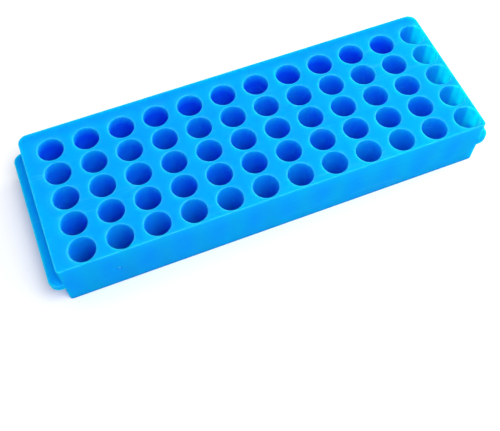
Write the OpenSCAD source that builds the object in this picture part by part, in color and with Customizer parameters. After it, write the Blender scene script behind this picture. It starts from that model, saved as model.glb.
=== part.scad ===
// Microcentrifuge tube rack, moulded in one piece: a block with straight-through wells,
// a wide margin along its back and left sides, and a ledge across each end to lift it by.
// It is double-sided: the wells are wider at the top face than at the reverse face.
// +X runs along the columns, +Y towards the back, +Z up out of the top face.
// The origin is the bottom centre of the whole rack.

/* [Wells] */
// Number of wells along X
cols = 12; // [2:1:16]
// Number of wells along Y
rows = 5; // [1:1:8]
// Diameter of a well where a tube enters at the top face
well_d = 11.4; // [9:0.1:14]
// Diameter of a well at the reverse face
far_d = 10.6; // [8:0.1:11.4]
// Straight depth of a well below the top face, before it starts to narrow
land_depth = 6; // [2:0.5:12]
// Material between two neighbouring wells along X
col_web = 4.6; // [2:0.1:8]
// Material between two neighbouring wells along Y
row_web = 1.6; // [1:0.1:6]
// Radius on the edge of each well, at both faces
mouth_r = 0.4; // [0.1:0.05:0.4]

/* [Body] */
// Height from the reverse face to the top face
height = 27; // [16:1:50]
// Material at the top face between the wells and the left end
left_margin = 6.9; // [4:0.1:15]
// Material at the top face between the wells and the right end
right_margin = 0.8; // [0.8:0.1:15]
// Material at the top face between the wells and the back
back_margin = 6; // [4:0.1:15]
// Material at the top face between the wells and the front
front_margin = 1; // [0.8:0.1:15]
// Lean of each outer wall, which makes the reverse face smaller
draft = 0.3; // [0:0.1:1.5]
// Radius of the two upright corners at the back
back_corner_r = 4.4; // [3:0.1:8]
// Radius of the two upright corners at the front
front_corner_r = 1.5; // [1:0.1:6]
// Radius on the long edges of the top and reverse faces
edge_r = 0.35; // [0.2:0.05:0.8]

/* [End ledges] */
// Thickness of a ledge, centred on the rack's height
ledge_t = 4; // [2.6:0.1:10]
// Reach of a ledge beyond the end wall at the top face
ledge_reach = 5.3; // [3:0.1:10]
// Step in from the front and back walls to the ends of a ledge
ledge_setback = 0.2; // [0.1:0.05:2]
// Radius of a ledge's upright corners
ledge_corner_r = 4.2; // [3:0.1:8]
// Radius on a ledge's upper and lower edges
ledge_edge_r = 0.8; // [0.2:0.1:1.2]

/* [Numerals] */
// Height of the column numbers in the reverse face
digit_h = 3; // [2:0.1:3.4]
// Width of a numeral's stroke
stroke_w = 0.5; // [0.3:0.05:0.8]
// Depth that the numerals are sunk
stroke_depth = 0.3; // [0.1:0.05:0.6]

/* [Hidden] */

$fn = 64;
over = 1;
edge_steps = 3;
col_pitch = well_d + col_web;
row_pitch = well_d + row_web;
wells_x = (cols - 1) * col_pitch + well_d;
wells_y = (rows - 1) * row_pitch + well_d;
body_x = left_margin + wells_x + right_margin;
body_y = front_margin + wells_y + back_margin;
half_x = body_x / 2;
half_y = body_y / 2;
first_x = left_margin + well_d / 2 - half_x;
first_y = half_y - back_margin - well_d / 2;
mid_z = height / 2;
digit_w = 0.5 * digit_h;
digit_gap = 0.3 * digit_h;
digits_y = half_y - height * tan(draft) - (back_margin - height * tan(draft)) / 2;

// How far a leaning wall stands out at height z, counted from its place at the top face
function lean(z) = -(height - z) * tan(draft);

// Points of a wall between two heights, its lower and upper edges rounded to radius r
function wall(z0, z1, r) = [
    for (i = [0:edge_steps])
        let (a = -90 + (90 - draft) * i / edge_steps)
            [lean(z0 + r) - r / cos(draft) + r * cos(a), z0 + r + r * sin(a)],
    for (i = [0:edge_steps])
        let (a = -draft + (90 + draft) * i / edge_steps)
            [lean(z1 - r) - r / cos(draft) + r * cos(a), z1 - r + r * sin(a)]
];

// The same points reversed, mirrored and moved, for the opposite wall of a section
function placed(points, at, side) =
    [for (i = [0:len(points) - 1])
        let (p = points[side > 0 ? i : len(points) - 1 - i]) [at + side * p[0], p[1]]];

// A slab with leaning sides: walls at half_l and -half_l along X, and at half_w and -half_w along Y
module slab(half_l, half_w, z0, z1, r, back_r, front_r) {
    points = wall(z0, z1, r);
    span_x = concat(placed(points, half_l, 1), placed(points, -half_l, -1));
    span_y = concat(placed(points, half_w, 1), [[0, z1], [0, z0]]);
    translate([0, half_w - back_r, 0])
        rotate([90, 0, 0])
            linear_extrude(2 * half_w - back_r - front_r) polygon(span_x);
    for (side = [1, -1]) {
        corner = side > 0 ? back_r : front_r;
        mirror([0, side > 0 ? 0 : 1, 0])
            translate([corner - half_l, 0, 0])
                rotate([90, 0, 90])
                    linear_extrude(2 * (half_l - corner)) polygon(span_y);
        for (end = [0, 1])
            mirror([end, 0, 0])
                mirror([0, side > 0 ? 0 : 1, 0])
                    translate([half_l - corner, half_w - corner, 0])
                        rotate_extrude(angle = 90)
                            polygon(concat(placed(points, corner, 1), [[0, z1], [0, z0]]));
    }
}

// What one well takes out of the block, with its axis on Z
module well_cut() {
    far_r = far_d / 2;
    near_r = well_d / 2;
    far_edge = [for (i = [0:edge_steps])
        let (a = 90 * i / edge_steps) [far_r + mouth_r * (1 - sin(a)), mouth_r * (1 - cos(a))]];
    near_edge = [for (i = [0:edge_steps])
        let (a = 90 * i / edge_steps)
            [near_r + mouth_r * (1 - cos(a)), height - mouth_r * (1 - sin(a))]];
    rotate_extrude()
        polygon(concat(
            [[0, -over], [far_r + mouth_r, -over]],
            far_edge,
            [[near_r, height - land_depth]],
            near_edge,
            [[near_r + mouth_r, height + over], [0, height + over]]
        ));
}

// Corners of each numeral's strokes, on a grid one wide and two high
function strokes(digit) = [
    [[[0, 0], [0, 2]], [[1, 0], [1, 2]], [[0, 0], [1, 0]], [[0, 2], [1, 2]]],
    [[[0.5, 0], [0.5, 2]], [[0.1, 1.6], [0.5, 2]]],
    [[[0, 2], [1, 2]], [[1, 2], [1, 1.2]], [[1, 1.2], [0, 0]], [[0, 0], [1, 0]]],
    [[[0, 2], [1, 2]], [[1, 2], [1, 0]], [[0.2, 1], [1, 1]], [[0, 0], [1, 0]]],
    [[[0.8, 0], [0.8, 2]], [[0.8, 2], [0, 0.6]], [[0, 0.6], [1.1, 0.6]]],
    [[[0, 2], [1, 2]], [[0, 2], [0, 1.1]], [[0, 1.1], [1, 1.1]], [[1, 1.1], [1, 0]],
        [[0, 0], [1, 0]]],
    [[[0, 0], [0, 2]], [[0, 2], [1, 2]], [[0, 1.1], [1, 1.1]], [[1, 1.1], [1, 0]],
        [[0, 0], [1, 0]]],
    [[[0, 2], [1, 2]], [[1, 2], [0.4, 0]]],
    [[[0, 0], [0, 2]], [[1, 0], [1, 2]], [[0, 0], [1, 0]], [[0, 1], [1, 1]], [[0, 2], [1, 2]]],
    [[[0, 2], [0, 0.9]], [[1, 0], [1, 2]], [[0, 2], [1, 2]], [[0, 0.9], [1, 0.9]],
        [[0, 0], [1, 0]]]
][digit];

module stroke(from, to) {
    along = to - from;
    translate(from)
        rotate(atan2(along[1], along[0]))
            translate([-stroke_w / 2, -stroke_w / 2])
                square([norm(along) + stroke_w, stroke_w]);
}

// A whole number centred on the origin, to be read from below
module number(value) {
    digits = value > 9 ? [floor(value / 10), value % 10] : [value];
    width = len(digits) * digit_w + (len(digits) - 1) * digit_gap;
    grid = [digit_w, digit_h / 2];
    mirror([0, 1])
        for (i = [0:len(digits) - 1])
            translate([i * (digit_w + digit_gap) - width / 2, -digit_h / 2])
                for (s = strokes(digits[i]))
                    stroke([s[0][0] * grid[0], s[0][1] * grid[1]], [s[1][0] * grid[0], s[1][1] * grid[1]]);
}

module rack() {
    color([0.05, 0.6, 0.98])
        difference() {
            union() {
                slab(half_x, half_y, 0, height, edge_r, back_corner_r, front_corner_r);
                slab(half_x + ledge_reach, half_y - ledge_setback, mid_z - ledge_t / 2,
                    mid_z + ledge_t / 2, ledge_edge_r, ledge_corner_r, ledge_corner_r);
            }
            for (i = [0:cols - 1], j = [0:rows - 1])
                translate([first_x + i * col_pitch, first_y - j * row_pitch, 0]) well_cut();
            for (i = [0:cols - 1])
                translate([first_x + i * col_pitch, digits_y, -over])
                    linear_extrude(over + stroke_depth) number(i + 1);
        }
}

rack();
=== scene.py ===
# %% [markdown]
# # A sixty-well microcentrifuge tube rack
# The rack is one block of blue polypropylene. Sixty wells go straight through it, and a ledge
# runs across each end, so that it can be lifted with two fingers.
# The measured block is already packed as a fixed frame. This lesson dresses it: it builds one
# smooth, closed skin of the same size with numpy, and then works out how the plastic takes light.

# %% Load the frame
import bmesh
import bpy
import numpy as np
from mathutils import Matrix, Vector
from mathutils.geometry import delaunay_2d_cdt


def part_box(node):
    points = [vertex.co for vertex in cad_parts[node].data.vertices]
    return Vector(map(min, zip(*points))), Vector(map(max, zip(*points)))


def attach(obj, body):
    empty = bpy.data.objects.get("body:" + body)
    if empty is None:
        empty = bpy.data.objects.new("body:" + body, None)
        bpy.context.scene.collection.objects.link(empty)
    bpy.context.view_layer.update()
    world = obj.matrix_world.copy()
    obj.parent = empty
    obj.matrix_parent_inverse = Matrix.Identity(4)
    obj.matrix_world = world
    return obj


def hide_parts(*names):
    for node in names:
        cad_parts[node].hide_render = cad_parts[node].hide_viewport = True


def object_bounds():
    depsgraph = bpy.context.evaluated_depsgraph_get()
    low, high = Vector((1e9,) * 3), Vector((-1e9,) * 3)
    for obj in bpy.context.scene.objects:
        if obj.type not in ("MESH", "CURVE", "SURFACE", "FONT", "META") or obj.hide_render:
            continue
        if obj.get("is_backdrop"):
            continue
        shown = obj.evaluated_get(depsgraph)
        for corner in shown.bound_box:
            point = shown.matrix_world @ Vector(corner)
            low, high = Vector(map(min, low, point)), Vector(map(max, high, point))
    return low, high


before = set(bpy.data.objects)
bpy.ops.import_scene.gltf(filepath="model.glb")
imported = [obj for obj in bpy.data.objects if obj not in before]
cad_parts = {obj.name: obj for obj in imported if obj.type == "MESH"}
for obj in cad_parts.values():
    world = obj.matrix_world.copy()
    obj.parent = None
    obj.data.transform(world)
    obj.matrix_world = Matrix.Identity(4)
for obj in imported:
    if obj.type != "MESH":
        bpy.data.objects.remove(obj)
cad_low, cad_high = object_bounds()
print("box in mm:", [round(1000 * v, 2) for v in list(cad_low) + list(cad_high)])

# %% [markdown]
# ## The sizes
# A moulded part is described by few numbers: how many wells, how wide, how far apart, and how much
# plastic is left around them. They could be measured off the frame's mesh, but named values read
# better, and the cell prints the length and width beside the frame's.
# X runs along the rack, Y towards its back, and Z up out of the face that takes the tubes.

# %% Name the sizes, in millimetres
columns = 12
rows = 5
near_r = 5.7            # well radius at the top face
far_r = 5.3             # well radius at the reverse face
land = 6.0              # straight depth before a well narrows
pitch_x = 16.0
pitch_y = 13.0
height = 27.0
half_x = 97.55
half_y = 35.2
back_corner = 4.4
front_corner = 1.5
lean = np.tan(np.radians(0.3))      # the outer walls lean in towards the reverse face
first_x = 6.9 + near_r - half_x
front_y = 1.0 + near_r - half_y
ledge_reach = 5.3
ledge_half = 2.0
ledge_corner = 4.2
frame_low, frame_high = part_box("rack")
print("length", 2 * (half_x + ledge_reach), "against", round(1000 * (frame_high.x - frame_low.x), 2))
print("width", 2 * half_y, "against", round(1000 * (frame_high.y - frame_low.y), 2))

# %% [markdown]
# ## The outline seen from above
# Seen from above the block is a long rectangle with four rounded corners. It could be drawn as a
# curve, but every later surface needs the same points in the same order, so it is an array.
# Each row holds a point and the direction that faces out of the block there. To grow or shrink
# the outline, every point moves along its own direction, which keeps the corners round.

# %% Outline pieces
def straight(start, end, facing, n):
    """n points from start towards end: start + (k / n) * (end - start). All face the same way."""
    share = np.arange(n)[:, None] / n
    at = (1 - share) * np.array(start, float) + share * np.array(end, float)
    out = np.tile([np.cos(np.radians(facing)), np.sin(np.radians(facing))], (n, 1))
    return np.hstack([at, out])


def arc(centre, radius, first, last, n):
    """n points round a corner: centre + radius * (cos a, sin a), with a from first towards last."""
    a = np.radians(first + (last - first) * np.arange(n) / n)
    out = np.stack([np.cos(a), np.sin(a)], axis=1)
    return np.hstack([np.array(centre, float) + radius * out, out])


print("a quarter turn in three steps:", np.round(arc((0, 0), 1, 0, 90, 3)[:, :2], 2).tolist())

# %% [markdown]
# The outline is cut into steps that match the wells: sixteen steps for each well along a side,
# and at each corner ten straight steps and six on the arc. So each well of the outer rows owns
# exactly sixteen steps of the edge, and the faces can later share them.

# %% Outline of the block
per_side = 16
seam_x = first_x + pitch_x * (np.arange(columns - 1) + 0.5)     # lines between columns
seam_y = front_y + pitch_y * (np.arange(rows - 1) + 0.5)        # lines between rows
x0, x1 = seam_x[0], seam_x[-1]
y0, y1 = seam_y[0], seam_y[-1]
fx, fy = half_x - front_corner, half_y - front_corner
bx, by = half_x - back_corner, half_y - back_corner
along = per_side * (columns - 2)
across = per_side * (rows - 2)
block = np.concatenate([
    arc((-fx, -fy), front_corner, 225, 270, 6),
    straight((-fx, -half_y), (x0, -half_y), 270, 10),
    straight((x0, -half_y), (x1, -half_y), 270, along),
    straight((x1, -half_y), (fx, -half_y), 270, 10),
    arc((fx, -fy), front_corner, 270, 360, 12),
    straight((half_x, -fy), (half_x, y0), 0, 10),
    straight((half_x, y0), (half_x, y1), 0, across),
    straight((half_x, y1), (half_x, by), 0, 10),
    arc((bx, by), back_corner, 0, 90, 12),
    straight((bx, half_y), (x1, half_y), 90, 10),
    straight((x1, half_y), (x0, half_y), 90, along),
    straight((x0, half_y), (-bx, half_y), 90, 10),
    arc((-bx, by), back_corner, 90, 180, 12),
    straight((-half_x, by), (-half_x, y1), 180, 10),
    straight((-half_x, y1), (-half_x, y0), 180, across),
    straight((-half_x, y0), (-half_x, -fy), 180, 10),
    arc((-fx, -fy), front_corner, 180, 225, 6),
])
around = len(block)
print("points round the block:", around, "=", 2 * per_side * (columns + rows))

# %% [markdown]
# The ledges are part of the same moulding. Seen from above, a ledge has an outline of its own,
# which leaves the front wall where the block's corner starts to turn, goes straight on, and then
# turns about a larger corner. Each point of the block's outline gets a partner on the ledge's
# outline. Where there is no ledge, the two are the same point.

# %% Outline of the ledges
lx, ly = half_x + ledge_reach - ledge_corner, half_y - ledge_corner
end_x = half_x + ledge_reach
ledges = np.concatenate([
    arc((-lx, -ly), ledge_corner, 243, 270, 3),
    straight((-lx, -half_y), (-fx, -half_y), 270, 3),
    straight((-fx, -half_y), (x0, -half_y), 270, 10),
    straight((x0, -half_y), (x1, -half_y), 270, along),
    straight((x1, -half_y), (fx, -half_y), 270, 10),
    straight((fx, -half_y), (lx, -half_y), 270, 3),
    arc((lx, -ly), ledge_corner, 270, 360, 10),
    straight((end_x, -ly), (end_x, y0), 0, 9),
    straight((end_x, y0), (end_x, y1), 0, across),
    straight((end_x, y1), (end_x, ly), 0, 9),
    arc((lx, ly), ledge_corner, 0, 90, 10),
    straight((lx, half_y), (bx, half_y), 90, 3),
    straight((bx, half_y), (x1, half_y), 90, 10),
    straight((x1, half_y), (x0, half_y), 90, along),
    straight((x0, half_y), (-bx, half_y), 90, 10),
    straight((-bx, half_y), (-lx, half_y), 90, 3),
    arc((-lx, ly), ledge_corner, 90, 180, 10),
    straight((-end_x, ly), (-end_x, y1), 180, 9),
    straight((-end_x, y1), (-end_x, y0), 180, across),
    straight((-end_x, y0), (-end_x, -ly), 180, 9),
    arc((-lx, -ly), ledge_corner, 180, 243, 7),
])

reach = np.linalg.norm(ledges[:, :2] - block[:, :2], axis=1)
print("points round the ledges:", len(ledges), "- furthest reach", round(reach.max(), 2), "mm")

# %% [markdown]
# The plastic was let into the mould at one small spot of the front wall, and that left a mark: a
# shallow dish with the stub of the broken-off feed in its middle. A mark of three millimetres
# needs finer steps than a wall does. So in front of the second well of the front row the sixteen
# steps are drawn together round the mark, in both outlines alike. The wall gets its mark later.

# %% Finer steps round the gate mark
gate_x, gate_z = -73.4, 13.0
mark_steps = np.array([0, 1, 13, per_side]) / per_side      # steps 1 to 13 cross the mark,
mark_shares = [0, 0.1, 0.34, 1]                             # which lies in this part of the pitch
for ring in (block, ledges):
    share = (ring[:, 0] - seam_x[0]) / pitch_x
    beside = (ring[:, 1] < 0.001 - half_y) & (share > 0) & (share < 1)
    moved = np.interp(share[beside], mark_steps, mark_shares)
    ring[beside, 0] = seam_x[0] + pitch_x * moved
steps = np.diff(block[np.abs(block[:, 0] - gate_x) < 1.9, 0])
print("steps at the mark:", np.round(steps[steps > 0][:3], 2), "mm instead of", pitch_x / per_side)

# %% [markdown]
# ## Grids into faces
# Every surface here is a grid: its points are a function of two numbers, counted along rows and
# along steps. Neighbouring points make four-sided faces. Each row runs round something, a well,
# a tile or the whole rack, so this helper joins the last step of a row back to the first.
# It also keeps three numbers with each point, which steer the colour later on: a painted shade, a
# painted glow, and the wear of the edges together with painted highlights on the rims.

# %% Collect grids
parts = {"points": [], "faces": [], "smooth": [], "painted_shade": [], "painted_glow": [], "wear_and_sheen": [], "count": 0}


def add_grid(points, painted_shade=0.0, painted_glow=0.0, wear_and_sheen=0.0):
    """Adds grids of shape (..., rows, steps, 3). Point k of row m makes a face with point k + 1
    and with the same two points of row m + 1. Returns the number of faces."""
    m, n = points.shape[-3], points.shape[-2]
    index = np.arange(points.size // 3).reshape(-1, m, n) + parts["count"]
    index = np.concatenate([index, index[:, :, :1]], axis=2)
    near, far = index[:, :-1], index[:, 1:]
    quads = np.stack([near[..., :-1], near[..., 1:], far[..., 1:], far[..., :-1]], axis=-1)
    parts["points"].append(points.reshape(-1, 3))
    parts["faces"] += quads.reshape(-1, 4).tolist()
    parts["smooth"] += [True] * quads[..., 0].size
    for name, value in (("painted_shade", painted_shade), ("painted_glow", painted_glow), ("wear_and_sheen", wear_and_sheen)):
        parts[name].append(np.broadcast_to(value, points.shape[:-1]).ravel())
    parts["count"] += points.size // 3
    return quads[..., 0].size


def raised(flat, z):
    """Points (x, y) given the height z, which is one number or one for each row."""
    z = np.broadcast_to(z, flat.shape[:-1])
    return np.concatenate([flat, z[..., None]], axis=-1)


print("kept with each point:", [key for key in parts if key in ("painted_shade", "painted_glow", "wear_and_sheen")])

# %% [markdown]
# ## The top face
# The flat face between sixty round holes could be cut with sixty booleans, which leaves long thin
# triangles that shade badly. Here each well owns a rectangular tile of the face instead. A tile is
# a grid that starts as its rectangular border and closes in to the circle:
# point = share * border + (1 - share) * circle.
# Tiles at the edge of the rack use the outline's own points as their outer border.

# %% Borders of the sixty tiles
edge_round = 0.35


def outline(source, inset, z):
    """The outline at height z: each point moves out by lean * (z - height) - inset."""
    return source[:, :2] + (lean * (z - height) - inset) * source[:, 2:]


def tile_borders(ring):
    """Borders of all tiles, shape (rows, columns, 64, 2), each anticlockwise from its near left
    corner. ring is the outline's points; inner borders are straight lines between the corners."""
    share = np.linspace(0, 1, per_side + 1)[:, None]
    ring = np.vstack([ring, ring[:1]])
    step = np.arange(per_side + 1)
    knots = np.zeros((rows + 1, columns + 1, 2))
    knots[1:-1, 1:-1] = np.stack(np.meshgrid(seam_x, seam_y), axis=-1)
    corner = per_side * np.array([0, columns, columns + rows, 2 * columns + rows, 2 * (columns + rows)])
    knots[0] = ring[corner[0]:corner[1] + 1:per_side]
    knots[:, -1] = ring[corner[1]:corner[2] + 1:per_side]
    knots[-1] = ring[corner[2]:corner[3] + 1:per_side][::-1]
    knots[:, 0] = ring[corner[3]:corner[4] + 1:per_side][::-1]
    flat = knots[:, :-1, None] * (1 - share) + knots[:, 1:, None] * share
    steep = knots[:-1, :, None] * (1 - share) + knots[1:, :, None] * share
    column, row = per_side * np.arange(columns)[:, None], per_side * np.arange(rows)[:, None]
    flat[0] = ring[corner[0] + column + step]
    steep[:, -1] = ring[corner[1] + row + step]
    flat[-1] = ring[corner[2] + column + step][::-1, ::-1]
    steep[:, 0] = ring[corner[3] + row + step][::-1, ::-1]
    return np.concatenate([
        flat[:-1, :, :-1],
        steep[:, 1:, :-1],
        flat[1:, :, :0:-1],
        steep[:, :-1, :0:-1],
    ], axis=2)


border = tile_borders(outline(block, edge_round, height))
print("tile borders:", border.shape[0] * border.shape[1], "of", border.shape[2], "points each")

# %% [markdown]
# Some painted shade and highlight follow the place. The blue is painted a little deeper over the
# solid margin at the back. Beside the thin right-hand wall even the rims are light, so their painted
# pale line fades out. The wall's own edge, where light scatters in from both sides, would come out
# nearly white if painted shade didn't keep its blue deeper. All three follow the place alone, so
# small functions of the points give them, and each changes softly, by way of a smooth step.

# %% Painted shade and highlight that follow the place
margin_from, margin_fade = 28.0, 6.0        # the back margin starts near this y
# the pale line of a rim is a painted highlight
line_loss = 0.8                             # how much of its pale line a rim loses there


def smooth(value):
    """0 below 0, 1 above 1, and 3 v^2 - 2 v^3 in between."""
    value = np.clip(value, 0, 1)
    return value * value * (3 - 2 * value)


def thicker(points):
    """Painted shade over the solid margin at the back: 0.3 * smooth((y - from) / fade)."""
    return 0.3 * smooth((points[..., 1] - margin_from) / margin_fade)


def rim_line(points):
    """The share of the pale line that is kept, a painted highlight on the rims and edges and wear on
    the edges: 1 over most of the rack. It falls from 3 mm to 1 mm before the slight right-hand
    wall's face, where a rim is as light as the face around it, so that it shows hardly any line."""
    return 1 - line_loss * smooth((points[..., 0] - half_x + 3) / 2)


def thin_edge(points):
    """How much painted shade keeps the blue deeper where the right-hand wall is slightest:
    0.4 * smooth((x - half_x + 1.8) / 0.9)."""
    return 0.4 * smooth((points[..., 0] - half_x + 1.8) / 0.9)


print("back margin:", round(half_y - margin_from, 1), "mm wide with its fade")

# %% [markdown]
# Now the tiles close in. Five rows of points are enough for a flat face: two near the border,
# one between, and two near the circle, where the face meets the rounded mouth of the well.

# %% Tiles of the top face
turn = np.radians(225 + 360 * np.arange(4 * per_side) / (4 * per_side))
circle = np.stack([np.cos(turn), np.sin(turn)], axis=1)
centres = np.stack(np.meshgrid(first_x + pitch_x * np.arange(columns),
                               front_y + pitch_y * np.arange(rows)), axis=-1)
near_round = 0.4
share = np.array([1, 0.94, 0.5, 0.08, 0])[:, None, None]
rim = centres[:, :, None, None] + (near_r + near_round) * circle
top = raised(share * border[:, :, None] + (1 - share) * rim, height)
# painted highlight: a pale line on the rounding where the face turns into each well
rim_highlight = np.array([0, 0, 0, 0.15, 0.6])[:, None] * rim_line(top)
# painted shade over the back margin and at the thin wall's edge
top_faces = add_grid(top, painted_shade=thicker(top) + thin_edge(top), wear_and_sheen=rim_highlight)
print("faces of the top:", top_faces, "in", rows * columns, "tiles")

# %% [markdown]
# ## The wells
# A well is a surface of revolution: the mould's core pin is turned on a lathe. Its mouth is
# rounded so that a tube finds its way in, then comes a straight land, and below it the well
# narrows a little, because a straight pin would not let go of the plastic.
# Only the radius and the height change down the profile, so all sixty are one array.

# %% Wells as surfaces of revolution
far_round = 0.25
quarter = np.radians(np.linspace(0, 90, 5))
profile = np.concatenate([
    # the rounded mouth, a plain ring below it, and the end of the straight land
    np.stack([near_r + near_round * (1 - np.sin(quarter)), height - near_round * (1 - np.cos(quarter))], 1),
    [[near_r, height - near_round - 0.3], [near_r, height - land]],
    # the narrowing, down to a plain ring above the far edge, and that edge's rounding
    [[far_r + 0.01, far_round + 0.4]],
    np.stack([far_r + far_round * (1 - np.cos(quarter)), far_round * (1 - np.sin(quarter))], 1),
])
radius, level = profile[:, 0], profile[:, 1]
bore = raised(centres[:, :, None, None] + radius[:, None, None] * circle, level[:, None])
print("points down a well:", len(profile), "- narrowest radius", round(radius.min(), 2), "mm")

# %% [markdown]
# Two numbers, both painted into the colour, decide how blue a point of a well looks.
# The first is painted shade: it says how little daylight gets there, 0 at the mouth and 1 where it
# is darkest. The front row stays light far down, because light also comes in through the thin
# front wall, and the back row, with the wide margin behind it, is dark sooner. At the reverse face
# daylight comes back in.
# The second is a painted glow: it says where the light of the room shines through the plastic
# behind the point. Only the right-hand wall is slight enough for that, beside the wells of the
# last column. The number rises a little from 6.4 mm of plastic to 4.8, and most of the way from
# 3.5 to 2.5, which gives the lit part an upright boundary. It falls again below 2.4, where the
# scattering in the shader carries the light by itself.

# %% How much light reaches each point of a well
dark_by = np.tile([1.3, 0.41, 0.4, 0.38, 0.24], (columns, 1)).T     # as a share of the height
dark_by[:, -1] = 3.2
down = 1 - level[:, None] / height
lit_below = np.clip(level[:, None] / 0.8, 0, 1)
# painted shade: the blue is painted deeper down each well, where less daylight gets
painted_shade = smooth(down / dark_by[..., None, None]) ** 1.25 * lit_below
wall_behind = half_x - bore[..., 0]
# painted glow: the light of the room through the thin right-hand wall, painted into the colour
painted_glow = 0.25 * smooth((6.4 - wall_behind) / 1.6) + 0.75 * smooth(3.5 - wall_behind)
painted_glow = (painted_glow - 0.85 * smooth((2.4 - wall_behind) / 1.4)) * lit_below
# painted highlight: a pale line down the rounded mouth and on the far edge's rounding
mouth_highlight = np.array([0.6, 1, 1, 0.8, 0.35, 0, 0, 0, 0.1, 0.3, 0.5, 0.4, 0])[:, None]
wear_and_sheen = mouth_highlight * rim_line(bore)
print("faces of the wells:", add_grid(bore, painted_shade=painted_shade, painted_glow=painted_glow, wear_and_sheen=wear_and_sheen))

# %% [markdown]
# ## The outer wall and the ledges
# The outside is a stack of rings, from the rounded top edge down to the rounded bottom edge.
# At the height of the ledges a ring may leave the block's outline and move towards the ledge's
# outline: first round a small inside fillet, then out along the ledge, round its edge, down its
# side, and back in below. Along the front and the back there is nowhere to go, so the same rings
# lie flat in the wall. One surface does it all, and no two solids have to be joined.

# %% Rings of the outer wall
ledge_round = 0.8
fillet = 0.6
slope = 0.06            # a ledge's face falls this much towards its edge
bottom_round = 0.3
low, high = height / 2 - ledge_half, height / 2 + ledge_half
wall_round = np.radians(np.linspace(0, 90, 5))
# each ring: height, inset, and how far it has gone through the fillet, the flat and the edge
rings = [[height - edge_round * (1 - np.cos(a)), edge_round * (1 - np.sin(a)), 0, 0, 0]
         for a in wall_round]
# a plain ring close to each rounding keeps the shading of the wall between them even
rings += [[height - edge_round - 0.4, 0, 0, 0, 0], [high + slope + fillet + 0.5, 0, 0, 0, 0]]
rings += [[high + slope + fillet * (1 - np.sin(a)), 0, 1 - np.cos(a), 0, 0] for a in wall_round]
rings += [[high - ledge_round * (1 - np.cos(a)), 0, 1, 1, np.sin(a)] for a in wall_round]
rings += [[z, 0, 1, 1, 1] for z in np.linspace(high - ledge_round - 0.1, low + ledge_round + 0.1, 10)]
rings += [[low + ledge_round * (1 - np.cos(a)), 0, 1, 1, np.sin(a)] for a in wall_round[::-1]]
rings += [[low - slope - fillet * (1 - np.sin(a)), 0, 1 - np.cos(a), 0, 0] for a in wall_round[::-1]]
rings += [[low - slope - fillet - 0.5, 0, 0, 0, 0], [bottom_round + 0.4, 0, 0, 0, 0]]
rings += [[bottom_round * (1 - np.cos(a)), bottom_round * (1 - np.sin(a)), 0, 0, 0]
          for a in wall_round[::-1]]
rings = np.array(rings)


def wall(rings):
    """Ring m at height z: (1 - s) * block's outline + s * ledge's outline, where s is the ring's
    way over the ledge as a share of the ledge's reach at that point."""
    z, inset, in_fillet, on_flat, on_edge = rings.T[:, :, None]
    f = np.minimum(fillet, reach / 2)
    g = np.minimum(ledge_round, reach / 2)
    way = in_fillet * f + on_flat * (reach - f - g) + on_edge * g
    s = (way / np.maximum(reach, 1e-9))[..., None]
    move = (lean * (z - height) - inset)[..., None]
    inner = block[:, :2] + move * block[:, 2:]
    outer = ledges[:, :2] + move * ledges[:, 2:]
    return raised((1 - s) * inner + s * outer, z)


outer = wall(rings)
print("rings:", len(rings), "of", outer.shape[1], "points")

# %% [markdown]
# The gate mark is pressed into the rings that run past it. A point near the gate moves back by
# the mark's depth times the dish's share, and forward again by the same depth times the stub's.
# Both shares are smooth bumps, so that no edge shows where the mark ends.

# %% Press in the gate mark
gate_r, gate_depth = 1.7, 0.6


def gate_mark(points):
    """A dish and the stub in its middle, both as shares: the dish is (1 - r^2)^2 within r = 1, and
    the stub the same on half that width, where r is the distance from the gate over gate_r."""
    r2 = ((points[..., 0] - gate_x) ** 2 + (points[..., 2] - gate_z) ** 2) / gate_r ** 2
    on_front = points[..., 1] < 0
    return on_front * np.clip(1 - r2, 0, 1) ** 2, on_front * np.clip(1 - 4 * r2, 0, 1) ** 2


dish, stub = gate_mark(outer)
outer[..., 1] += gate_depth * dish - gate_depth * stub
print("points in the gate mark:", int((dish > 0).sum()), "of which in the stub:", int((stub > 0).sum()))

# %% [markdown]
# The front wall is one millimetre thick in front of a well and many times that between two
# wells. In milky plastic that shows as light coming through, and here it is painted in: painted
# shade makes the wall a little darker between the wells, in soft upright bands, and darkens the
# dish of the gate mark. The edges of the wall and of the ledges are rubbed paler, with a painted
# highlight along them. The stub, which was torn when the feed broke off, is the palest spot of
# all, as a torn tip and as a painted glint.

# %% Painted shade, wear and highlight of the outer wall
def between_wells(points):
    """Painted shade on the front wall between two wells, where solid plastic is behind it and less
    light comes through: 0.1 * (1 - cos(2 pi (x - well) / pitch)), and 0 at the wall's two long edges."""
    x, y, z = np.moveaxis(points, -1, 0)
    turns = (np.maximum(x, first_x - pitch_x / 2) - first_x) / pitch_x
    on_front = smooth((front_corner - half_y - y) / 1.2)
    off_edges = smooth((height - edge_round - z) / 1.5) * smooth((z - bottom_round) / 1.5)
    return 0.1 * (1 - np.cos(2 * np.pi * turns)) * on_front * off_edges


on_ledge_edge = (rings[:, 4:] > 0) & (rings[:, 4:] < 1)
ledge_wear = np.where(on_ledge_edge, 0.8, 0) * np.clip(reach, 0, 1)
# the rounded edges are rubbed paler, real wear, with a painted highlight along them as well
edge_wear_and_sheen = ledge_wear + np.where(rings[:, 1:2] > 0, 0.9, 0)
edge_wear_and_sheen[-1] = 0
top_edge = smooth((outer[..., 2] - height + 0.75) / 0.4)
# painted shade over the back margin, between the wells, on the thin wall's top edge and in the gate mark's
# dish
painted_shade = thicker(outer) + between_wells(outer) + thin_edge(outer) * top_edge + 0.6 * dish * (1 - stub)
# the rubbed edges, partly a painted highlight, and the pale stub: a torn tip and a painted glint
wear_and_sheen = edge_wear_and_sheen * rim_line(outer) + 3 * stub
print("faces of the outer wall:", add_grid(outer, painted_shade=painted_shade, wear_and_sheen=wear_and_sheen))

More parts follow.
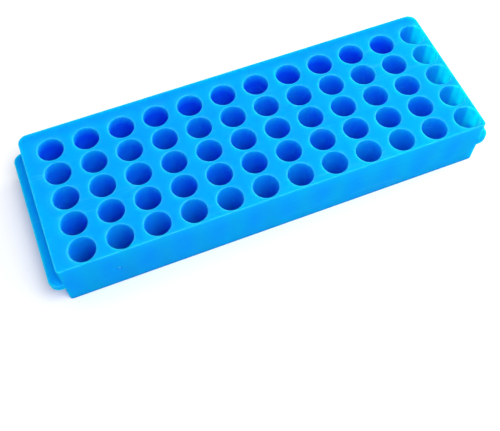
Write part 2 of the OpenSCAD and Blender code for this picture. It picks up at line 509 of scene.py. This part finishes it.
# %% [markdown]
# ## The reverse face with its column numbers
# The rack can be turned over: the reverse face is flat, with slightly narrower holes and sunk
# numbers beside the columns, 1 to 12. A number is a set of straight strokes, as cut by a small
# round tool in the mould. Sinking them needs faces that follow the strokes, so here a
# constrained triangulation is used: it fills the outline with triangles and keeps every
# given line as an edge. Triangles inside a well are dropped, and those inside a stroke are lowered.

# %% Strokes of the numbers
digit_height, digit_width, gap, stroke_width, sunk = 3.0, 1.5, 0.9, 0.5, 0.3
strokes = {
    "0": [(0, 0, 0, 2), (1, 0, 1, 2), (0, 0, 1, 0), (0, 2, 1, 2)],
    "1": [(0.5, 0, 0.5, 2), (0.1, 1.6, 0.5, 2)],
    "2": [(0, 2, 1, 2), (1, 2, 1, 1.2), (1, 1.2, 0, 0), (0, 0, 1, 0)],
    "3": [(0, 2, 1, 2), (1, 2, 1, 0), (0.2, 1, 1, 1), (0, 0, 1, 0)],
    "4": [(0.8, 0, 0.8, 2), (0.8, 2, 0, 0.6), (0, 0.6, 1.1, 0.6)],
    "5": [(0, 2, 1, 2), (0, 2, 0, 1.1), (0, 1.1, 1, 1.1), (1, 1.1, 1, 0), (0, 0, 1, 0)],
    "6": [(0, 0, 0, 2), (0, 2, 1, 2), (0, 1.1, 1, 1.1), (1, 1.1, 1, 0), (0, 0, 1, 0)],
    "7": [(0, 2, 1, 2), (1, 2, 0.4, 0)],
    "8": [(0, 0, 0, 2), (1, 0, 1, 2), (0, 0, 1, 0), (0, 1, 1, 1), (0, 2, 1, 2)],
    "9": [(0, 2, 0, 0.9), (1, 0, 1, 2), (0, 2, 1, 2), (0, 0.9, 1, 0.9), (0, 0, 1, 0)],
}
back_at_foot = half_y - height * lean - bottom_round
last_rim_y = front_y + (rows - 1) * pitch_y + far_r + far_round
digits_y = (back_at_foot + last_rim_y) / 2 + 0.25       # a little nearer to the back edge


def number_strokes(value, x):
    """Ends of each stroke of a number centred on x, mirrored so that it reads from below."""
    text = str(value)
    width = len(text) * digit_width + (len(text) - 1) * gap
    ends = []
    for place, digit in enumerate(text):
        s = np.array(strokes[digit]).reshape(-1, 2, 2) * [digit_width, digit_height / 2]
        s[..., 0] += x + place * (digit_width + gap) - width / 2
        s[..., 1] = digits_y + digit_height / 2 - s[..., 1]
        ends.append(s)
    return np.concatenate(ends)


bars = np.concatenate([number_strokes(i + 1, first_x + i * pitch_x) for i in range(columns)])
bar_way = bars[:, 1] - bars[:, 0]
bar_long = np.linalg.norm(bar_way, axis=1, keepdims=True)
bar_way = bar_way / bar_long
bar_side = np.stack([-bar_way[:, 1], bar_way[:, 0]], axis=1)
print("strokes:", len(bars), "- numbers centred on y =", round(digits_y, 2), "mm")

# %% [markdown]
# The triangulation gets the outline, the sixty rims and the rectangles of the strokes as closed
# loops. Its triangles then have to be sorted. One whose three corners lie on the rim of the same
# well is inside that well. One whose middle is within half a stroke's width of a stroke's centre
# line is part of a number.

# %% Triangles of the reverse face
foot = outline(block, bottom_round, 0)
far_rim = (centres[:, :, None] + (far_r + far_round) * circle).reshape(-1, 4 * per_side, 2)
reach_out = stroke_width / 2
ends = [bars[:, 0] - reach_out * bar_way, bars[:, 1] + reach_out * bar_way]
bar_loops = np.stack([ends[0] - reach_out * bar_side, ends[1] - reach_out * bar_side,
                      ends[1] + reach_out * bar_side, ends[0] + reach_out * bar_side], axis=1)


def loop_edges(loops, start):
    """Edges round closed loops of shape (count, points, 2): point k to k + 1, the last to the first."""
    index = np.arange(loops.shape[0] * loops.shape[1]).reshape(loops.shape[:2]) + start
    return np.stack([index, np.roll(index, -1, axis=1)], axis=-1).reshape(-1, 2).tolist()


edges, seeds = [], []
for loops in (foot[None], far_rim, bar_loops):
    edges += loop_edges(loops, sum(len(s) for s in seeds))
    seeds.append(loops.reshape(-1, 2))
found = delaunay_2d_cdt(list(map(Vector, np.concatenate(seeds).tolist())), edges, [], 0, 1e-6)
spots = np.array([tuple(v) for v in found[0]])
triangles = np.array(found[2])
to_wells = np.linalg.norm(spots[:, None] - centres.reshape(1, -1, 2), axis=2)
owner = np.where(to_wells.min(axis=1) < far_r + far_round + 0.01, to_wells.argmin(axis=1), -1)
owners = owner[triangles]
in_well = (owners[:, 0] >= 0) & (owners == owners[:, :1]).all(axis=1)
triangles = triangles[~in_well]
middle = spots[triangles].mean(axis=1)
from_bar = middle[:, None] - bars.mean(axis=1)
in_long = np.abs((from_bar * bar_way).sum(axis=2)) < bar_long[:, 0] / 2 + reach_out
in_wide = np.abs((from_bar * bar_side).sum(axis=2)) < reach_out
lowered = (in_long & in_wide).any(axis=1)
print("triangles:", len(triangles), "of which lowered:", int(lowered.sum()))

# %% [markdown]
# A lowered triangle uses a second copy of its points, one stroke's depth higher up in the block.
# Where a lowered triangle meets one that stayed, the edge gets a small upright wall.

# %% Lower the strokes and close their sides
start, count = parts["count"], len(spots)
reverse = np.concatenate([raised(spots, 0), raised(spots, sunk)])
faces = np.where(lowered[:, None], triangles + count, triangles)[:, ::-1]
in_strokes = triangles[lowered]
sides = np.concatenate([in_strokes[:, [0, 1]], in_strokes[:, [1, 2]], in_strokes[:, [2, 0]]])
key = sides[:, 0] * count + sides[:, 1]
back_key = sides[:, 1] * count + sides[:, 0]
rim_sides = sides[~np.isin(back_key, key)]
walls = np.concatenate([rim_sides, rim_sides[:, ::-1] + count], axis=1)
parts["points"].append(reverse)
parts["faces"] += (faces + start).tolist() + (walls + start).tolist()
parts["smooth"] += [False] * (len(faces) + len(walls))
# painted shade over the back margin, and a deeper blue in the sunk strokes of the numbers
parts["painted_shade"].append(thicker(reverse) + 0.4 * (reverse[:, 2] > 0))
parts["painted_glow"].append(np.zeros(2 * count))
parts["wear_and_sheen"].append(np.zeros(2 * count))
parts["count"] += 2 * count
print("side faces of the strokes:", len(walls))

# %% [markdown]
# ## One closed skin
# The surfaces touch along shared points, so merging the doubles closes every seam. Then the
# normals are worked out again, so that all faces point out of the plastic, and the volume is
# printed with the count of open edges; the frame's solid is 216 cubic centimetres.

# %% Make the mesh
points = np.concatenate(parts["points"]) * 0.001
skin = bpy.data.meshes.new("rack_skin")
skin.from_pydata(points.tolist(), [], parts["faces"])
skin.polygons.foreach_set("use_smooth", parts["smooth"])
for name in ("painted_shade", "painted_glow", "wear_and_sheen"):
    layer = skin.attributes.new(name, "FLOAT", "POINT")
    layer.data.foreach_set("value", np.concatenate(parts[name]).astype(np.float32))
work = bmesh.new()
work.from_mesh(skin)
bmesh.ops.remove_doubles(work, verts=work.verts, dist=1e-6)
loose = [v for v in work.verts if not v.link_faces]
bmesh.ops.delete(work, geom=loose, context="VERTS")
bmesh.ops.recalc_face_normals(work, faces=work.faces)
open_edges = sum(1 for e in work.edges if len(e.link_faces) != 2)
volume = work.calc_volume(signed=True)
tri_count = sum(len(f.verts) - 2 for f in work.faces)
work.to_mesh(skin)
work.free()
print("open edges:", open_edges, "volume in cm3:", round(volume * 1e6, 2), "triangles:", tri_count)

rack = bpy.data.objects.new("tube_rack", skin)
bpy.context.scene.collection.objects.link(rack)
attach(rack, "root")
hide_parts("rack")

# %% [markdown]
# ## The plastic
# Polypropylene is milky: light goes in, scatters and comes out a few millimetres further on. That
# is why the rims of the wells and the thin right-hand wall glow, and why the wells are a deeper
# blue than the face. Subsurface scattering does part of the first of these by itself. A painted
# glow beside the thin wall and painted shade down the wells add the rest to the colour.
# What a flat colour lacks is made from three small effects, each a node group of its own with
# named sockets: slow clouds where the dye mixed unevenly, a fine grain left by the mould, and the
# paler edges that come from handling, which also carry the painted highlights of the rims. Groups
# only put out values and colours, and the shader itself stays in the material.

# %% A helper for node groups
def node_group(name, sockets_in, sockets_out):
    """An empty shader group with the named sockets. Returns the group and its two end nodes."""
    group = bpy.data.node_groups.new(name, "ShaderNodeTree")
    for label, kind, value in sockets_in:
        socket = group.interface.new_socket(name=label, in_out="INPUT", socket_type=kind)
        if value is not None:
            socket.default_value = value
    for label, kind in sockets_out:
        group.interface.new_socket(name=label, in_out="OUTPUT", socket_type=kind)
    return group, group.nodes.new("NodeGroupInput"), group.nodes.new("NodeGroupOutput")


def add_node(tree, kind, values=None, **settings):
    """A new node with its settings, and with the given values on its numbered or named inputs."""
    node = tree.nodes.new(kind)
    for key, value in settings.items():
        setattr(node, key, value)
    for key, value in (values or {}).items():
        node.inputs[key].default_value = value
    return node


# %% [markdown]
# The clouds are a slow noise, some forty millimetres from one patch to the next, that leads from
# one blue to a slightly different one. Its strength is low: it is only missed when it isn't there.

# %% Clouds in the dye
clouds, clouds_in, clouds_out = node_group(
    "dye_clouds",
    [("Vector", "NodeSocketVector", None), ("Patches per metre", "NodeSocketFloat", 25.0),
     ("One", "NodeSocketColor", (0, 0, 0, 1)), ("Other", "NodeSocketColor", (1, 1, 1, 1))],
    [("Color", "NodeSocketColor")])
slow = add_node(clouds, "ShaderNodeTexNoise", {"Detail": 3.0, "Roughness": 0.55, "Distortion": 0.6})
spread = add_node(clouds, "ShaderNodeMapRange", {"From Min": 0.35, "From Max": 0.65})
blend = add_node(clouds, "ShaderNodeMix", data_type="RGBA")
clouds.links.new(clouds_in.outputs["Vector"], slow.inputs["Vector"])
clouds.links.new(clouds_in.outputs["Patches per metre"], slow.inputs["Scale"])
clouds.links.new(slow.outputs["Fac"], spread.inputs["Value"])
clouds.links.new(spread.outputs["Result"], blend.inputs[0])
clouds.links.new(clouds_in.outputs["One"], blend.inputs[6])
clouds.links.new(clouds_in.outputs["Other"], blend.inputs[7])
clouds.links.new(blend.outputs[2], clouds_out.inputs["Color"])
print("nodes of the clouds:", len(clouds.nodes))

# %% [markdown]
# The grain has two parts: a fine even noise from the spark-eroded mould, and long faint scratches
# from years of tubes and drawers. A scratch is a noise stretched along one direction, of which only
# the narrow band round its middle value is kept. Both lift the surface and roughen it.

# %% Grain and scratches
grain, grain_in, grain_out = node_group(
    "mould_grain",
    [("Vector", "NodeSocketVector", None), ("Grains per metre", "NodeSocketFloat", 2500.0),
     ("Scratch amount", "NodeSocketFloat", 0.2)],
    [("Height", "NodeSocketFloat"), ("Roughness", "NodeSocketFloat"), ("Scratch", "NodeSocketFloat")])
fine = add_node(grain, "ShaderNodeTexNoise", {"Detail": 2.0, "Roughness": 0.6})
along_scratch = add_node(grain, "ShaderNodeMapping",
                         {"Rotation": (0.3, 0.2, 0.5), "Scale": (9, 130, 130)})
long_noise = add_node(grain, "ShaderNodeTexNoise", {"Scale": 1.0, "Detail": 2.0, "Roughness": 0.5})
off_middle = add_node(grain, "ShaderNodeMath", {1: 0.5}, operation="SUBTRACT")
distance_off = add_node(grain, "ShaderNodeMath", operation="ABSOLUTE")
scratch = add_node(grain, "ShaderNodeMapRange",
                   {"From Min": 0.0, "From Max": 0.012, "To Min": 1.0, "To Max": 0.0})
patches = add_node(grain, "ShaderNodeTexNoise", {"Scale": 30.0, "Detail": 2.0})
some = add_node(grain, "ShaderNodeMapRange", {"From Min": 0.5, "From Max": 0.62})
only_some = add_node(grain, "ShaderNodeMath", operation="MULTIPLY")
weaker = add_node(grain, "ShaderNodeMath", operation="MULTIPLY")
height_of = add_node(grain, "ShaderNodeMath", operation="SUBTRACT")
rough_fine = add_node(grain, "ShaderNodeMapRange", {"To Min": 0.34, "To Max": 0.46})
rough_all = add_node(grain, "ShaderNodeMath", {1: 0.25}, operation="MULTIPLY_ADD")
grain.links.new(grain_in.outputs["Vector"], fine.inputs["Vector"])
grain.links.new(grain_in.outputs["Grains per metre"], fine.inputs["Scale"])
grain.links.new(grain_in.outputs["Vector"], along_scratch.inputs["Vector"])
grain.links.new(along_scratch.outputs["Vector"], long_noise.inputs["Vector"])
grain.links.new(long_noise.outputs["Fac"], off_middle.inputs[0])
grain.links.new(off_middle.outputs[0], distance_off.inputs[0])
grain.links.new(distance_off.outputs[0], scratch.inputs["Value"])
grain.links.new(grain_in.outputs["Vector"], patches.inputs["Vector"])
grain.links.new(patches.outputs["Fac"], some.inputs["Value"])
grain.links.new(scratch.outputs["Result"], only_some.inputs[0])
grain.links.new(some.outputs["Result"], only_some.inputs[1])
grain.links.new(only_some.outputs[0], weaker.inputs[0])
grain.links.new(grain_in.outputs["Scratch amount"], weaker.inputs[1])
grain.links.new(fine.outputs["Fac"], height_of.inputs[0])
grain.links.new(weaker.outputs[0], height_of.inputs[1])
grain.links.new(height_of.outputs[0], grain_out.inputs["Height"])
grain.links.new(patches.outputs["Fac"], rough_fine.inputs["Value"])
grain.links.new(weaker.outputs[0], rough_all.inputs[0])
grain.links.new(rough_fine.outputs["Result"], rough_all.inputs[2])
grain.links.new(rough_all.outputs[0], grain_out.inputs["Roughness"])
grain.links.new(weaker.outputs[0], grain_out.inputs["Scratch"])
print("nodes of the grain:", len(grain.nodes))

# %% [markdown]
# The mesh already knows where its edges are: each point carries a number for the rubbed edges,
# which also holds the painted highlights of the rims. Multiplied by a middling noise it gives
# edges that are rubbed, and rims that are lit, here and there, not a drawn line.

# %% Rubbed edges and painted rim highlights
rubbed_and_lit, rubbed_and_lit_in, rubbed_and_lit_out = node_group(
    "rubbed_edges_and_sheen",
    [("Vector", "NodeSocketVector", None), ("Edge", "NodeSocketFloat", 0.0)],
    [("Mask", "NodeSocketFloat")])
spots_noise = add_node(rubbed_and_lit, "ShaderNodeTexNoise", {"Scale": 180.0, "Detail": 3.0, "Roughness": 0.6})
uneven = add_node(rubbed_and_lit, "ShaderNodeMapRange",
                  {"From Min": 0.3, "From Max": 0.7, "To Min": 0.45, "To Max": 1.0})
rub_and_sheen = add_node(rubbed_and_lit, "ShaderNodeMath", operation="MULTIPLY")
rubbed_and_lit.links.new(rubbed_and_lit_in.outputs["Vector"], spots_noise.inputs["Vector"])
rubbed_and_lit.links.new(spots_noise.outputs["Fac"], uneven.inputs["Value"])
rubbed_and_lit.links.new(uneven.outputs["Result"], rub_and_sheen.inputs[0])
rubbed_and_lit.links.new(rubbed_and_lit_in.outputs["Edge"], rub_and_sheen.inputs[1])
rubbed_and_lit.links.new(rub_and_sheen.outputs[0], rubbed_and_lit_out.inputs["Mask"])
print("node groups:", [g.name for g in bpy.data.node_groups])

# %% [markdown]
# The material puts them together. The base is a strong sky blue. Painted shade makes the blue
# deeper down a well, where less daylight gets, and at the other places that the shade attribute
# marks. Where light shines through a slight wall, a painted glow makes it greener and lighter. On
# rubbed edges and on the painted highlights of the rims it gets paler. The gloss is weak: a
# fine-grained moulding scatters what a polished one would mirror.

# %% The nodes of the material
plastic = bpy.data.materials.new("blue_polypropylene")
plastic.use_nodes = True
tree = plastic.node_tree
shader = tree.nodes["Principled BSDF"]
where = add_node(tree, "ShaderNodeTexCoord")
wear_and_sheen_at = add_node(tree, "ShaderNodeAttribute", attribute_name="wear_and_sheen")
painted_shade_at = add_node(tree, "ShaderNodeAttribute", attribute_name="painted_shade")
painted_glow_at = add_node(tree, "ShaderNodeAttribute", attribute_name="painted_glow")
dye = add_node(tree, "ShaderNodeGroup", node_tree=clouds)
dye.inputs["One"].default_value = (0.003, 0.325, 0.99, 1)
dye.inputs["Other"].default_value = (0.002, 0.365, 0.99, 1)
skin_grain = add_node(tree, "ShaderNodeGroup", node_tree=grain)
edges_rubbed_and_lit = add_node(tree, "ShaderNodeGroup", node_tree=rubbed_and_lit)
# painted shade: the deeper blue that stands in for shade down the wells and in the other shaded places
deeper = add_node(tree, "ShaderNodeMix", data_type="RGBA")
deeper.inputs[7].default_value = (0.001, 0.12, 1.0, 1)
# painted glow: the lighter, greener blue that stands in for light coming through the thin wall
lit_through = add_node(tree, "ShaderNodeMix", data_type="RGBA")
lit_through.inputs[7].default_value = (0.003, 0.6, 1.0, 1)
# paler on rubbed edges and scratches, and as a painted highlight on the rims and the gate stub
paler = add_node(tree, "ShaderNodeMix", data_type="RGBA")
paler.inputs[7].default_value = (0.06, 0.55, 1.0, 1)
mark = add_node(tree, "ShaderNodeMath", {1: 0.5}, operation="MULTIPLY_ADD", use_clamp=True)
bump = add_node(tree, "ShaderNodeBump", {"Strength": 0.25, "Distance": 0.00003})
print("nodes of the material:", len(tree.nodes))

# %% [markdown]
# The colour goes through three mixes in a row: deeper by painted shade, then lit through by a
# painted glow, then paler where worn and where the rims have their painted highlight.
# What is the same all over the rack is a constant on the shader: the index of polypropylene, a
# gloss held low, and the scattering. Green light gets furthest through this plastic and red
# hardly anywhere, so each colour has its own radius, in millimetres by the scale of 0.001.

# %% Join the nodes and set the constants
for group_node in (dye, skin_grain, edges_rubbed_and_lit):
    tree.links.new(where.outputs["Object"], group_node.inputs["Vector"])
tree.links.new(wear_and_sheen_at.outputs["Fac"], edges_rubbed_and_lit.inputs["Edge"])
tree.links.new(painted_shade_at.outputs["Fac"], deeper.inputs[0])
tree.links.new(painted_glow_at.outputs["Fac"], lit_through.inputs[0])
tree.links.new(dye.outputs["Color"], deeper.inputs[6])
tree.links.new(skin_grain.outputs["Scratch"], mark.inputs[2])
tree.links.new(edges_rubbed_and_lit.outputs["Mask"], mark.inputs[0])
tree.links.new(mark.outputs[0], paler.inputs[0])
tree.links.new(deeper.outputs[2], lit_through.inputs[6])
tree.links.new(lit_through.outputs[2], paler.inputs[6])
tree.links.new(paler.outputs[2], shader.inputs["Base Color"])
tree.links.new(skin_grain.outputs["Roughness"], shader.inputs["Roughness"])
tree.links.new(skin_grain.outputs["Height"], bump.inputs["Height"])
tree.links.new(bump.outputs["Normal"], shader.inputs["Normal"])
shader.inputs["IOR"].default_value = 1.49
shader.inputs["Specular IOR Level"].default_value = 0.002
shader.inputs["Subsurface Weight"].default_value = 1.0
shader.inputs["Subsurface Radius"].default_value = (1.0, 12.0, 5.5)
shader.inputs["Subsurface Scale"].default_value = 0.001
skin.materials.append(plastic)
print("links of the material:", len(tree.links))

# %% [markdown]
# ## Floor, light and camera
# A plain white floor that runs on into white surroundings, as on a product table. For the camera it
# is whiter than for the light that bounces off it, which keeps the blue of the walls clean.
# Near the rack it is an ordinary matt floor, so that the shadow stays. Further out less light
# reaches it, and there it gives off a little of its own, for the camera only, up to the horizon.

# %% Floor
floor_mesh = bpy.data.meshes.new("floor")
size = 3.0
corners = [(-size, -size, 0), (size, -size, 0), (size, size, 0), (-size, size, 0)]
floor_mesh.from_pydata(corners, [], [(0, 1, 2, 3)])
floor = bpy.data.objects.new("floor", floor_mesh)
bpy.context.scene.collection.objects.link(floor)
pale = bpy.data.materials.new("pale_floor")
pale.use_nodes = True
# it bounces light at 0.72 of white, but is seen as white
matt = pale.node_tree.nodes["Principled BSDF"]
matt.inputs["Roughness"].default_value = 0.9
matt.inputs["Specular IOR Level"].default_value = 0.0
seen_by = add_node(pale.node_tree, "ShaderNodeLightPath")
whiter = add_node(pale.node_tree, "ShaderNodeMix", data_type="RGBA")
whiter.inputs[6].default_value = (0.72, 0.72, 0.72, 1)
whiter.inputs[7].default_value = (1.0, 1.0, 1.0, 1)
# its glow starts 0.2 m from the middle of the rack and is full at 0.9 m
on_floor = add_node(pale.node_tree, "ShaderNodeTexCoord")
how_far = add_node(pale.node_tree, "ShaderNodeVectorMath", operation="LENGTH")
far_out = add_node(pale.node_tree, "ShaderNodeMapRange", {"From Min": 0.2, "From Max": 0.9, "To Max": 0.4})
glow = add_node(pale.node_tree, "ShaderNodeMath", operation="MULTIPLY")
matt.inputs["Emission Color"].default_value = (1, 1, 1, 1)
pale.node_tree.links.new(on_floor.outputs["Object"], how_far.inputs[0])
pale.node_tree.links.new(how_far.outputs["Value"], far_out.inputs["Value"])
pale.node_tree.links.new(far_out.outputs["Result"], glow.inputs[0])
pale.node_tree.links.new(seen_by.outputs["Is Camera Ray"], glow.inputs[1])
pale.node_tree.links.new(glow.outputs[0], matt.inputs["Emission Strength"])
pale.node_tree.links.new(seen_by.outputs["Is Camera Ray"], whiter.inputs[0])
pale.node_tree.links.new(whiter.outputs[2], matt.inputs["Base Color"])
floor_mesh.materials.append(pale)
floor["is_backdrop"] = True
print("floor:", 2 * size, "m wide, seen whiter than it lights")

# %% [markdown]
# The light is that of a white tent: an even surround, and two large soft lamps. The surround is
# seen as full white, but it lights at two thirds of that, so that the lamps still count. The key
# lamp stands over the front edge, and gives the wells their lighter back walls. The side lamp is
# beyond the right end, where its light comes through the thin wall. Hard lamps would show mirror
# spots on the rims, which a fine-grained moulding doesn't have.

# %% Light
world = bpy.data.worlds.new("studio")
world.use_nodes = True
surround = world.node_tree.nodes["Background"]
surround.inputs["Color"].default_value = (1, 1, 1, 1)
ray = add_node(world.node_tree, "ShaderNodeLightPath")
brightness = add_node(world.node_tree, "ShaderNodeMapRange", {"To Min": 0.66, "To Max": 1.0})
world.node_tree.links.new(ray.outputs["Is Camera Ray"], brightness.inputs["Value"])
world.node_tree.links.new(brightness.outputs["Result"], surround.inputs["Strength"])
bpy.context.scene.world = world


def soft_lamp(name, place, side, watts):
    """A square lamp of that side, in metres, at place, turned so that its face looks at the rack."""
    lamp = bpy.data.lights.new(name, "AREA")
    lamp.size = side
    lamp.energy = watts
    holder = bpy.data.objects.new(name, lamp)
    bpy.context.scene.collection.objects.link(holder)
    holder.location = place
    holder.rotation_euler = (-Vector(place)).to_track_quat("-Z", "Y").to_euler()
    print(name, "lamp:", round(Vector(place).length, 2), "m away,", watts, "W")


soft_lamp("key", (0.06, -0.2, 0.44), 0.25, 1.38)
soft_lamp("side", (0.7, 0.1, 0.25), 0.4, 3.2)

# %% [markdown]
# The camera looks down from the front left, close enough for the far end to look smaller. Its
# place follows from where it aims, how far away it is, and three angles: round the rack, up from
# the floor, and the small tilt of its own frame. Its three axes, right, up and back, are the
# columns of its matrix.

# %% Camera
camera_data = bpy.data.cameras.new("camera")
camera_data.lens = 53.05
camera_data.sensor_width = 36
camera_data.clip_start = 0.01
camera = bpy.data.objects.new("camera", camera_data)
bpy.context.scene.collection.objects.link(camera)
azimuth, elevation, roll = np.radians([-20.54, 61.18, -1.09])
distance = 0.3037
aim = np.array([-0.01638, -0.03918, 0.027])
level_right = np.array([np.cos(azimuth), np.sin(azimuth), 0])
towards = np.array([np.sin(azimuth), -np.cos(azimuth), 0])
back = np.cos(elevation) * towards + np.array([0, 0, np.sin(elevation)])
level_up = np.cross(back, level_right)
right = np.cos(roll) * level_right + np.sin(roll) * level_up
up = np.cross(back, right)
place = aim + distance * back
camera.matrix_world = Matrix([[right[r], up[r], back[r], place[r]] for r in range(3)] + [[0, 0, 0, 1]])
bpy.context.scene.camera = camera
bpy.context.scene.view_settings.view_transform = "Standard"
print("camera at", np.round(1000 * place), "mm")

# %% [markdown]
# ## Finish
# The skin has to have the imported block's size, so both boxes are written down side by side.

# %% Write the sizes and finish
low_corner, high_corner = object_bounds()
far = [[round(1000 * v, 2) for v in corner] for corner in (cad_high, high_corner)]
print("far corner in mm, packed:", far[0], "dressed:", far[1])
